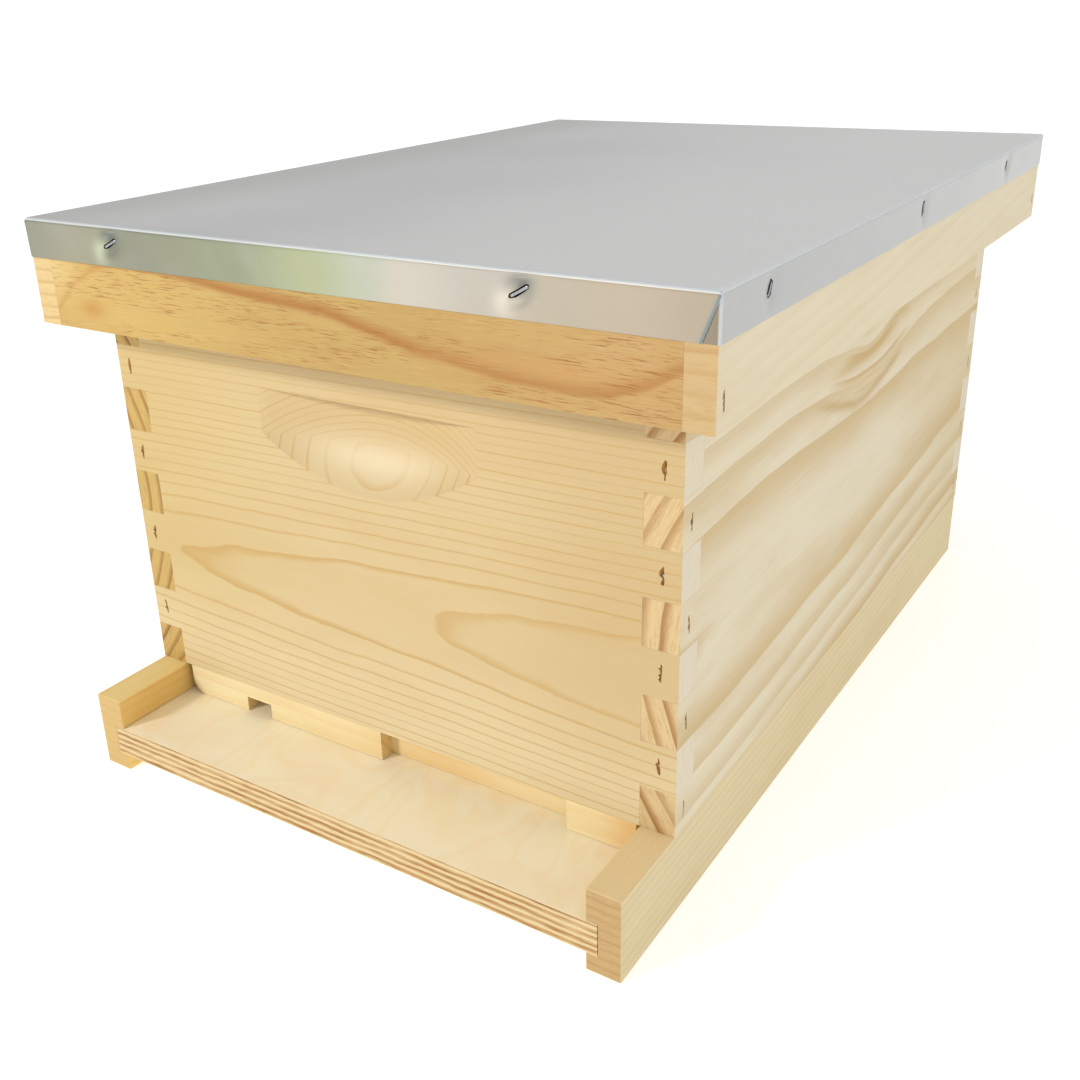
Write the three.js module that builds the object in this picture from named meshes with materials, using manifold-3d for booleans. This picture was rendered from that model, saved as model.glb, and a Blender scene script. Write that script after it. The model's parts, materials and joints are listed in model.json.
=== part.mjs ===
// A deep eight-frame Langstroth beehive: bottom board, entrance reducer, hive body with its
// frames, inner cover and telescoping outer cover with a folded metal sheet.
// Millimetres, +Z up. The entrance faces -Y. The origin is under the middle of the whole hive.
import * as THREE from "three";
import { mergeVertices } from "three/addons/utils/BufferGeometryUtils.js";
import Module from "manifold-3d";

const wasm = await Module();
wasm.setup();

// Driving dimensions. Every one is a multiple of 1/8 mm.
const fit = 0.25; // clearance between pieces that touch
const board = 19; // thickness of the planed boards
const hiveWidth = 355.5;
const hiveLength = 505;

const rail = { height: 47.5, grooveDepth: 6.5 };
const floor = { top: 28.5, thickness: 18, landing: 53.75 };
const reducer = { side: 18.5, left: -154.75, right: 156.75, setBack: 0.5, cornerRadius: 9 };
const smallNotch = { left: -108.25, width: 19, height: 9.5 };
const wideNotch = { left: -4.5, width: 121, depth: 9.5 };

const bodyHeight = 244.5;
const finger = { first: 24, pitch: 25.5 }; // box-joint fingers, counted from the bottom edge
const rabbet = { width: 9.5, depth: 16 };
// A handhold is turned about an upright axis: a straight band, then a taper to nothing below.
const handhold = { width: 140, depth: 13.5, top: 192, crease: 166.5, bottom: 142.5 };

const frameCount = 8;
const framePitch = 35;
const frame = { drop: 6.25, height: 231.75, endBarOuter: 223.75, endBarThickness: 9.5 };
const topBar = { length: 482.5, width: 27, height: 19, lugWidth: 22, lugHeight: 9.5 };
const endBar = { width: 34.75, footWidth: 28.5, shoulder: 80, taper: 14 };
const bottomBar = { width: 19, height: 9.5 };
const foundation = { thickness: 3, halfLength: 211.5, tongue: 3 };

const inner = { height: 18.75, rimWidth: 25, panel: 6, panelBase: 9.75, tongue: 6.25 };
const innerHole = { width: 32, length: 90 };
const ventNotch = { width: 25, height: 8 };

const cover = { width: 403, length: 552.5, rimHeight: 44, rimThickness: 14, topBoard: 12 };
const sheet = { thickness: 0.75, skirt: 21 };
const coverShift = { x: 4, y: -8 }; // the cover has play, and sits to the right and forward

// Derived levels and half sizes
const halfWidth = hiveWidth / 2;
const halfLength = hiveLength / 2;
const insideX = halfWidth - board;
const insideY = halfLength - board;
const bottomFront = -halfLength - floor.landing;
const bodyBase = rail.height + fit;
const innerBase = bodyBase + bodyHeight + fit;
const lidBase = innerBase + inner.height + fit;
const frameTop = bodyHeight - frame.drop;
const frameBottom = frameTop - frame.height;
const over = 5; // how far a cutter runs past the face that it opens

// Solids

function box(x0, x1, y0, y1, z0, z1) {
  const shape = new THREE.BoxGeometry(x1 - x0, y1 - y0, z1 - z0);
  return shape.translate((x0 + x1) / 2, (y0 + y1) / 2, (z0 + z1) / 2);
}

function outlineShape(points) {
  return new THREE.Shape(points.map(([u, v]) => new THREE.Vector2(u, v)));
}

// An outline in X and Z, extruded along Y.
function prismAlongY(shape, y0, y1) {
  const turn = new THREE.Matrix4().set(1, 0, 0, 0, 0, 0, -1, y1, 0, 1, 0, 0, 0, 0, 0, 1);
  const options = { depth: y1 - y0, bevelEnabled: false, curveSegments: 8 };
  return new THREE.ExtrudeGeometry(shape, options).applyMatrix4(turn);
}

// An outline in Y and Z, extruded along X.
function prismAlongX(shape, x0, x1) {
  const turn = new THREE.Matrix4().set(0, 0, 1, x0, 1, 0, 0, 0, 0, 1, 0, 0, 0, 0, 0, 1);
  const options = { depth: x1 - x0, bevelEnabled: false };
  return new THREE.ExtrudeGeometry(shape, options).applyMatrix4(turn);
}

function toManifold(geometry) {
  const bare = geometry.index ? geometry.toNonIndexed() : geometry.clone();
  bare.deleteAttribute("normal");
  bare.deleteAttribute("uv");
  const merged = mergeVertices(bare, 1e-4);
  const vertProperties = merged.attributes.position.array;
  const triVerts = new Uint32Array(merged.index.array);
  return new wasm.Manifold(new wasm.Mesh({ numProp: 3, vertProperties, triVerts }));
}

function toGeometry(manifold) {
  const mesh = manifold.getMesh();
  const geometry = new THREE.BufferGeometry();
  geometry.setAttribute("position", new THREE.BufferAttribute(mesh.vertProperties, 3));
  geometry.setIndex(new THREE.BufferAttribute(mesh.triVerts, 1));
  return geometry;
}

function cut(blank, cutters) {
  const subtract = (body, cutter) => body.subtract(toManifold(cutter));
  return toGeometry(cutters.reduce(subtract, toManifold(blank)));
}

function join(first, second) {
  return toGeometry(toManifold(first).add(toManifold(second)));
}

// Materials, one for each mesh

function timber(color) {
  return new THREE.MeshStandardMaterial({ color, roughness: 0.6, metalness: 0 });
}

const pine = () => timber(0xe9d19a);
const palePine = () => timber(0xe0d0ac);
const orangePine = () => timber(0xd8ae70);
const birchPly = () => timber(0xecd6b0);
const zinc = () => new THREE.MeshStandardMaterial({ color: 0xc3c6c4, roughness: 0.35, metalness: 1 });
const wax = () => new THREE.MeshStandardMaterial({ color: 0xe8c65c, roughness: 0.45, metalness: 0 });

function piece(name, geometry, material) {
  const flat = geometry.index ? geometry.toNonIndexed() : geometry;
  flat.computeVertexNormals();
  const mesh = new THREE.Mesh(flat, material);
  mesh.name = name;
  return mesh;
}

function groupAt(x, y, z, meshes) {
  const group = new THREE.Group();
  group.position.set(x, y, z);
  group.add(...meshes);
  return group;
}

// Bottom board

function grooved(side) {
  const outer = side * halfWidth;
  const innerFace = side * insideX;
  const grooveBottom = innerFace + side * rail.grooveDepth;
  const [x0, x1] = [outer, innerFace].sort((a, b) => a - b);
  const [g0, g1] = [innerFace - side * over, grooveBottom].sort((a, b) => a - b);
  const blank = box(x0, x1, bottomFront, halfLength, 0, rail.height);
  const low = floor.top - floor.thickness - fit;
  const high = floor.top + fit;
  return cut(blank, [box(g0, g1, bottomFront - over, halfLength + over, low, high)]);
}

function bottomBoard() {
  const floorHalf = insideX + rail.grooveDepth - fit;
  const floorBase = floor.top - floor.thickness;
  const panel = box(-floorHalf, floorHalf, bottomFront, halfLength, floorBase, floor.top);
  const backHalf = insideX - fit;
  const back = box(-backHalf, backHalf, insideY, halfLength, floor.top + fit, rail.height);
  return groupAt(0, 0, 0, [
    piece("bottom_rail_left", grooved(-1), pine()),
    piece("bottom_rail_right", grooved(1), palePine()),
    piece("floor_panel", panel, birchPly()),
    piece("bottom_back_rail", back, pine()),
  ]);
}

// The reducer's lower left corner is rounded over. Its small notch opens down, its wide one forward.
function entranceReducer() {
  const { side, left, right, cornerRadius: round } = reducer;
  const outline = new THREE.Shape();
  outline.moveTo(left + round, 0);
  outline.lineTo(smallNotch.left, 0);
  outline.lineTo(smallNotch.left, smallNotch.height);
  outline.lineTo(smallNotch.left + smallNotch.width, smallNotch.height);
  outline.lineTo(smallNotch.left + smallNotch.width, 0);
  outline.lineTo(right, 0);
  outline.lineTo(right, side);
  outline.lineTo(left, side);
  outline.lineTo(left, round);
  outline.absarc(left + round, round, round, Math.PI, 1.5 * Math.PI, false);
  const front = -halfLength + reducer.setBack;
  const stick = prismAlongY(outline, front, front + side);
  const wideRight = wideNotch.left + wideNotch.width;
  const recessBack = front + wideNotch.depth;
  const recess = box(wideNotch.left, wideRight, front - over, recessBack, -over, side + over);
  const body = cut(stick, [recess]);
  return groupAt(0, 0, floor.top + fit, [piece("entrance_reducer", body, pine())]);
}

// Hive body

// Outline of a box-jointed board: its ends step between tip and root at each finger.
function fingeredOutline(tip, root, ownsFirst) {
  const levels = [0];
  for (let z = finger.first; z < bodyHeight; z += finger.pitch) levels.push(z);
  levels.push(bodyHeight);
  const edge = [];
  for (let k = 0; k + 1 < levels.length; k++) {
    const owns = (k % 2 === 0) === ownsFirst;
    const inset = owns ? fit / 2 : -fit / 2;
    const low = k === 0 ? 0 : levels[k] + inset;
    const high = k + 2 === levels.length ? bodyHeight : levels[k + 1] - inset;
    edge.push([owns ? tip : root, low], [owns ? tip : root, high]);
  }
  const mirrored = edge.map(([u, v]) => [-u, v]).reverse();
  return outlineShape([...edge, ...mirrored]);
}

// The handhold's cutter, in the board's own frame: the outer face is at y = 0, the wood at y > 0.
function handholdCutter() {
  const half = handhold.width / 2;
  const radius = (half * half + handhold.depth * handhold.depth) / (2 * handhold.depth);
  const slope = handhold.depth / (handhold.crease - handhold.bottom);
  const tail = 10; // the taper runs on below the wood
  const profile = [
    [0, handhold.bottom - tail],
    [radius - handhold.depth - slope * tail, handhold.bottom - tail],
    [radius, handhold.crease],
    [radius, handhold.top],
    [0, handhold.top],
  ];
  const turned = new THREE.LatheGeometry(profile.map(([r, z]) => new THREE.Vector2(r, z)), 180);
  const upright = new THREE.Matrix4().set(1, 0, 0, 0, 0, 0, -1, 0, 0, 1, 0, 0, 0, 0, 0, 1);
  return turned.applyMatrix4(upright).translate(0, handhold.depth - radius, 0);
}

// side is -1 for the front board and 1 for the back board.
function endBoard(side) {
  const outline = fingeredOutline(halfWidth, insideX - fit, false);
  const blank = prismAlongY(outline, 0, board);
  const ledge = box(
    fit - insideX,
    insideX - fit,
    board - rabbet.width,
    board + over,
    bodyHeight - rabbet.depth,
    bodyHeight + over,
  );
  const geometry = cut(blank, [ledge, handholdCutter()]);
  if (side > 0) geometry.applyMatrix4(new THREE.Matrix4().makeScale(-1, -1, 1));
  return geometry.translate(0, side * halfLength, 0);
}

function sideBoard(side) {
  const outline = fingeredOutline(halfLength, insideY - fit, true);
  const [x0, x1] = side < 0 ? [-halfWidth, -insideX] : [insideX, halfWidth];
  return prismAlongX(outline, x0, x1);
}

function hiveBody() {
  return groupAt(0, 0, bodyBase, [
    piece("body_front_board", endBoard(-1), pine()),
    piece("body_back_board", endBoard(1), pine()),
    piece("body_left_board", sideBoard(-1), pine()),
    piece("body_right_board", sideBoard(1), palePine()),
  ]);
}

// Frames, drawn about their own middle plane

const endBarInner = frame.endBarOuter - frame.endBarThickness;
const topBarUnderside = frameTop - topBar.height;
const bottomBarTop = frameBottom + bottomBar.height;

// A groove along the middle of a bar, which the foundation's edge stands in.
function foundationGroove(z0, z1) {
  const half = foundation.thickness / 2 + fit;
  return box(-half, half, -endBarInner - over, endBarInner + over, z0, z1);
}

function topBarSolid() {
  const half = endBarInner - fit;
  const { width, length, lugWidth } = topBar;
  const middle = box(-width / 2, width / 2, -half, half, topBarUnderside, frameTop);
  const lugBase = frameTop - topBar.lugHeight;
  const lugs = box(-lugWidth / 2, lugWidth / 2, -length / 2, length / 2, lugBase, frameTop);
  const grooveTop = topBarUnderside + foundation.tongue + fit;
  return cut(join(middle, lugs), [foundationGroove(topBarUnderside - over, grooveTop)]);
}

function bottomBarSolid() {
  const half = bottomBar.width / 2;
  const reach = frame.endBarOuter;
  const blank = box(-half, half, -reach, reach, frameBottom, bottomBarTop);
  const grooveBase = bottomBarTop - foundation.tongue - fit;
  return cut(blank, [foundationGroove(grooveBase, bottomBarTop + over)]);
}

function endBarSolid(side) {
  const wide = endBar.width / 2;
  const foot = endBar.footWidth / 2;
  const lugSlot = topBar.lugWidth / 2 + fit;
  const barSlot = bottomBar.width / 2 + fit;
  const lugFloor = frameTop - topBar.lugHeight - fit;
  const shoulder = frameTop - endBar.shoulder;
  const rightHalf = [
    [barSlot, frameBottom],
    [foot, frameBottom],
    [foot, shoulder - endBar.taper],
    [wide, shoulder],
    [wide, frameTop],
    [lugSlot, frameTop],
    [lugSlot, lugFloor],
  ];
  const leftHalf = rightHalf.map(([x, z]) => [-x, z]).reverse();
  const slotTop = [
    [-barSlot, bottomBarTop + fit],
    [barSlot, bottomBarTop + fit],
  ];
  const outline = outlineShape([...rightHalf, ...leftHalf, ...slotTop]);
  const [y0, y1] = side < 0 ? [-frame.endBarOuter, -endBarInner] : [endBarInner, frame.endBarOuter];
  return prismAlongY(outline, y0, y1);
}

function foundationSolid() {
  const half = foundation.thickness / 2;
  const reach = foundation.halfLength;
  const base = bottomBarTop - foundation.tongue;
  return box(-half, half, -reach, reach, base, topBarUnderside + foundation.tongue);
}

function combFrame(number) {
  const x = (number - (frameCount + 1) / 2) * framePitch;
  const name = (what) => `frame_${number}_${what}`;
  return groupAt(x, 0, bodyBase, [
    piece(name("top_bar"), topBarSolid(), pine()),
    piece(name("front_end_bar"), endBarSolid(-1), palePine()),
    piece(name("back_end_bar"), endBarSolid(1), palePine()),
    piece(name("bottom_bar"), bottomBarSolid(), pine()),
    piece(name("foundation"), foundationSolid(), wax()),
  ]);
}

// Inner cover: a panel held in the grooves of four rims

const panelHalfX = halfWidth - inner.rimWidth + inner.tongue;
const panelHalfY = halfLength - inner.rimWidth + inner.tongue;

function panelGroove() {
  const base = inner.panelBase - fit;
  const top = inner.panelBase + inner.panel + fit;
  const x = panelHalfX + fit;
  const y = panelHalfY + fit;
  return box(-x, x, -y, y, base, top);
}

function innerSideRim(side) {
  const far = side * halfWidth;
  const near = side * (halfWidth - inner.rimWidth);
  const [x0, x1] = [far, near].sort((a, b) => a - b);
  return cut(box(x0, x1, -halfLength, halfLength, 0, inner.height), [panelGroove()]);
}

function innerEndRim(side, notches) {
  const half = halfWidth - inner.rimWidth - fit;
  const near = side * (halfLength - inner.rimWidth);
  const [y0, y1] = [side * halfLength, near].sort((a, b) => a - b);
  return cut(box(-half, half, y0, y1, 0, inner.height), [panelGroove(), ...notches]);
}

function innerPanel() {
  const x = panelHalfX;
  const y = panelHalfY;
  const shape = outlineShape([[-x, -y], [x, -y], [x, y], [-x, y]]);
  const radius = innerHole.width / 2;
  const straight = innerHole.length / 2 - radius;
  const hole = new THREE.Path();
  hole.absarc(0, straight, radius, 0, Math.PI, false);
  hole.absarc(0, -straight, radius, Math.PI, 2 * Math.PI, false);
  hole.closePath();
  shape.holes.push(hole);
  const options = { depth: inner.panel, bevelEnabled: false, curveSegments: 10 };
  return new THREE.ExtrudeGeometry(shape, options).translate(0, 0, inner.panelBase);
}

function innerCover() {
  const half = ventNotch.width / 2;
  const vent = box(-half, half, -halfLength - over, -insideY + over * 2, -over, ventNotch.height);
  return groupAt(0, 0, innerBase, [
    piece("inner_cover_left_rim", innerSideRim(-1), pine()),
    piece("inner_cover_right_rim", innerSideRim(1), pine()),
    piece("inner_cover_front_rim", innerEndRim(-1, [vent]), pine()),
    piece("inner_cover_back_rim", innerEndRim(1, []), pine()),
    piece("inner_cover_panel", innerPanel(), birchPly()),
  ]);
}

// Outer cover: the rims hang below the top board, and the metal sheet is folded over both

const lidHalfX = cover.width / 2 - sheet.thickness - fit;
const lidHalfY = cover.length / 2 - sheet.thickness - fit;
const rimBase = -fit - cover.rimHeight;

function lidSideRim(side) {
  const [x0, x1] = [side * lidHalfX, side * (lidHalfX - cover.rimThickness)].sort((a, b) => a - b);
  return box(x0, x1, -lidHalfY, lidHalfY, rimBase, -fit);
}

function lidEndRim(side) {
  const half = lidHalfX - cover.rimThickness - fit;
  const [y0, y1] = [side * lidHalfY, side * (lidHalfY - cover.rimThickness)].sort((a, b) => a - b);
  return box(-half, half, y0, y1, rimBase, -fit);
}

function metalSheet() {
  const top = cover.topBoard + fit + sheet.thickness;
  const x = cover.width / 2;
  const y = cover.length / 2;
  const t = sheet.thickness;
  const hollow = box(t - x, x - t, t - y, y - t, top - sheet.skirt - over, top - t);
  return cut(box(-x, x, -y, y, top - sheet.skirt, top), [hollow]);
}

function outerCover() {
  const top = box(-lidHalfX, lidHalfX, -lidHalfY, lidHalfY, 0, cover.topBoard);
  return groupAt(coverShift.x, coverShift.y, lidBase, [
    piece("cover_top_board", top, birchPly()),
    piece("cover_left_rim", lidSideRim(-1), pine()),
    piece("cover_right_rim", lidSideRim(1), palePine()),
    piece("cover_front_rim", lidEndRim(-1), orangePine()),
    piece("cover_back_rim", lidEndRim(1), pine()),
    piece("cover_metal_sheet", metalSheet(), zinc()),
  ]);
}

// The hive, moved so that the origin is under the middle of its whole outline

const coverBack = coverShift.y + cover.length / 2;
const hive = new THREE.Group();
hive.position.set(-coverShift.x, -(bottomFront + coverBack) / 2, 0);
hive.add(bottomBoard(), entranceReducer(), hiveBody(), innerCover(), outerCover());
for (let number = 1; number <= frameCount; number++) hive.add(combFrame(number));

export default hive;
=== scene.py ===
import json
import random
from math import cos, exp, pi, radians, sin, sqrt, tau

import bmesh
import bpy
from mathutils import Matrix, Vector

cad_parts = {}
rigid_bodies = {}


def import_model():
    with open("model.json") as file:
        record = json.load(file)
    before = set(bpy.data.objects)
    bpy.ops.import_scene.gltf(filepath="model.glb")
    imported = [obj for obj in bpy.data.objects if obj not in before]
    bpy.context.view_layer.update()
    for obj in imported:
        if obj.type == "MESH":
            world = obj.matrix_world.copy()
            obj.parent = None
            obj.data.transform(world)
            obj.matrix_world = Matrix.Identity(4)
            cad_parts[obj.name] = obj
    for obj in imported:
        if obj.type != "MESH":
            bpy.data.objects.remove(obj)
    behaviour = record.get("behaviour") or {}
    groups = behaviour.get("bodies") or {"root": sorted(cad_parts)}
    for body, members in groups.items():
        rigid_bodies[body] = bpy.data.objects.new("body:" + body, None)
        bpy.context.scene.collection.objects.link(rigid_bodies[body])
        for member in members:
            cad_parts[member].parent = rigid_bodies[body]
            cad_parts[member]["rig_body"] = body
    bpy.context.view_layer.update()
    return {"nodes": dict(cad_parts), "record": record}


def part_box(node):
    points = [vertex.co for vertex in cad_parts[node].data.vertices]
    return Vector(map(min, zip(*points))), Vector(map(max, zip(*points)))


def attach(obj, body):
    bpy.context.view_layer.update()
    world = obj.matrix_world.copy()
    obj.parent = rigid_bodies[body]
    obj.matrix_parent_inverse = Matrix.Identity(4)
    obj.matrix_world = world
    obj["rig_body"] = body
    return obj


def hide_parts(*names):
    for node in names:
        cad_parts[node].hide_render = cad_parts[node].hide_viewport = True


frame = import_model()

scene = bpy.context.scene
NODES = frame["nodes"]
FINISH = {part["node"]: part["material_slot"] for part in frame["record"]["subparts"]}
MM = 0.001
WELD = 1e-5  # metres between two CAD vertices that are the same corner


# -------- places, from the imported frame

FRONT_LOW, FRONT_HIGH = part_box("body_front_board")
BACK_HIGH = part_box("body_back_board")[1]
RIGHT_LOW, RIGHT_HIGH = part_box("body_right_board")
LEFT_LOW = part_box("body_left_board")[0]
SHEET_LOW, SHEET_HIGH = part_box("cover_metal_sheet")
FLOOR_LOW, FLOOR_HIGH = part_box("floor_panel")
# On the ground, under the middle of the hive body: growth rings are placed from here.
MIDDLE = Vector(((FRONT_LOW.x + FRONT_HIGH.x) / 2, (FRONT_LOW.y + BACK_HIGH.y) / 2, 0.0))
BOARD = FRONT_HIGH.y - FRONT_LOW.y
WIDE = SHEET_HIGH.x - SHEET_LOW.x
LONG = SHEET_HIGH.y - SHEET_LOW.y


def srgb(red, green, blue):
    """A colour given as 0-255 display values, in the linear values that shaders use."""
    def linear(value):
        part = value / 255
        return part / 12.92 if part <= 0.04045 else ((part + 0.055) / 1.055) ** 2.4
    return (linear(red), linear(green), linear(blue), 1)


# -------- node graphs

class Value:
    """A node's output, to calculate with."""

    def __init__(self, graph, socket):
        self.graph = graph
        self.socket = socket

    def __add__(self, other):
        return self.graph.math("ADD", self, other)

    def __sub__(self, other):
        return self.graph.math("SUBTRACT", self, other)

    def __rsub__(self, other):
        return self.graph.math("SUBTRACT", other, self)

    def __mul__(self, other):
        return self.graph.math("MULTIPLY", self, other)

    def __truediv__(self, number):
        return self * (1 / number)


class Graph:
    """The nodes of a material or a world, and the few kinds of node that are used here."""

    def __init__(self, owner, shader):
        owner.use_nodes = True
        self.nodes = owner.node_tree.nodes
        self.links = owner.node_tree.links
        self.shader = self.nodes[shader]

    def put(self, socket, value):
        if isinstance(value, Value):
            self.links.new(value.socket, socket)
        else:
            socket.default_value = value

    def node(self, kind, *values):
        """A new node, with values on its first sockets."""
        node = self.nodes.new(f"ShaderNode{kind}")
        for socket, value in zip(node.inputs, values):
            self.put(socket, value)
        return node

    def value(self, node, output=0):
        return Value(self, node.outputs[output])

    def surface(self, **values):
        for name, value in values.items():
            self.put(self.shader.inputs[name.replace("_", " ")], value)

    def math(self, operation, *values):
        node = self.node("Math", *values)
        node.operation = operation
        return self.value(node)

    def ease(self, value, start, end, low=0, high=1):
        node = self.node("MapRange", value, start, end, low, high)
        node.interpolation_type = "SMOOTHSTEP"
        return self.value(node)

    def pulse(self, value, start, peak):
        """Rises from start to its peak, and is back at 0 where the value is 1."""
        return self.ease(value, start, peak) * self.ease(value, peak, 1, 1, 0)

    def bell(self, value):
        """1 where the value is 0, falling smoothly to both sides."""
        return self.math("EXPONENT", value * value * -1)

    def mix(self, factor, first, second):
        """A blend of two colours, each of them a socket or 0-255 display values."""
        node = self.node("Mix")
        node.data_type = "RGBA"
        node.clamp_factor = True
        for place, value in ((0, factor), (6, first), (7, second)):
            self.put(node.inputs[place], srgb(*value) if isinstance(value, tuple) else value)
        return self.value(node, 2)

    def place(self, x, y, z):
        return self.value(self.node("CombineXYZ", x, y, z))

    def noise(self, where, detail=2, roughness=0.5, spread=0, scale=1):
        node = self.node("TexNoise")
        for name, value in (("Vector", where), ("Scale", scale), ("Detail", detail),
                            ("Roughness", roughness), ("Distortion", spread)):
            self.put(node.inputs[name], value)
        return self.value(node)

    def swing(self, where, size, detail=2):
        """Noise about zero, from -size to size."""
        return (self.noise(where, detail) - 0.5) * (2 * size)

    def random(self, value):
        node = self.node("TexWhiteNoise")
        node.noise_dimensions = "1D"
        self.put(node.inputs["W"], value)
        return self.value(node)

    def curve(self, value, points):
        """A smooth curve through points whose coordinates run from 0 to 1."""
        node = self.node("FloatCurve")
        line = node.mapping.curves[0]
        for x, y in points[1:-1]:
            line.points.new(x, y)
        line.points[0].location = points[0]
        line.points[-1].location = points[-1]
        node.mapping.update()
        self.put(node.inputs["Value"], value)
        return self.value(node)


class Material(Graph):
    """A material with its surface's place, in millimetres from under the middle of the hive body."""

    def __init__(self, name):
        self.material = bpy.data.materials.new(name)
        super().__init__(self.material, "Principled BSDF")
        shift = self.node("VectorMath", self.value(self.node("TexCoord"), "Object"), MIDDLE)
        shift.operation = "SUBTRACT"
        scale = self.node("VectorMath", self.value(shift))
        scale.operation = "SCALE"
        scale.inputs["Scale"].default_value = 1 / MM
        split = self.node("SeparateXYZ", self.value(scale))
        self.xyz = {axis: self.value(split, k) for k, axis in enumerate("xyz")}

    def scaled(self, *scales):
        """The surface's place, with each coordinate scaled."""
        return self.place(*(value * scale for value, scale in zip(self.xyz.values(), scales)))

    def facing(self, axis):
        """How squarely the surface faces along an axis, 0 to 1."""
        split = self.node("SeparateXYZ", self.value(self.node("NewGeometry"), "Normal"))
        return self.math("ABSOLUTE", self.value(split, "xyz".index(axis)))

    def blot(self, spot):
        """1 at a spot, falling smoothly to 0 around it: spot has a place and a reach for each axis."""
        squares = [self.math("POWER", (self.xyz[axis] - place) / reach, 2)
                   for axis, (place, reach) in spot.items()]
        return self.math("EXPONENT", sum(squares[1:], squares[0]) * -1)

    def stroke(self, run, rise, span, points, wide):
        """A painted line with soft ends: points give its height, from 0 to 1, along its span."""
        (start, stop), (low, high) = span
        part = (self.xyz[run] - start) / (stop - start)
        line = self.curve(part, points) * (high - low) + low
        off = (self.xyz[rise] - line) / wide
        ends = self.ease(part, 0, 0.25) * self.ease(part, 0.85, 1, 1, 0)
        return self.bell(off) * ends

    def bump(self, height, strength, distance):
        node = self.node("Bump")
        for name, value in (("Strength", strength), ("Distance", distance), ("Height", height)):
            self.put(node.inputs[name], value)
        self.surface(Normal=self.value(node))


# -------- timber

PALE_THREAD = (255, 246, 222)
RESIN = (158, 100, 46)
BURL_LINES = 1.6  # how much closer the growth lines stand beside a knot
# How long and wide the noises in timber are, along and across the grain, in millimetres.
STRAY_BROAD, STRAY_FINE = (150, 70), (38, 16)
FIBRE, THREAD, CLOUD, DASH, GATHER = (45, 0.53), (14, 0.2), (130, 30), (11, 0.6), (60, 9)


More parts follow.
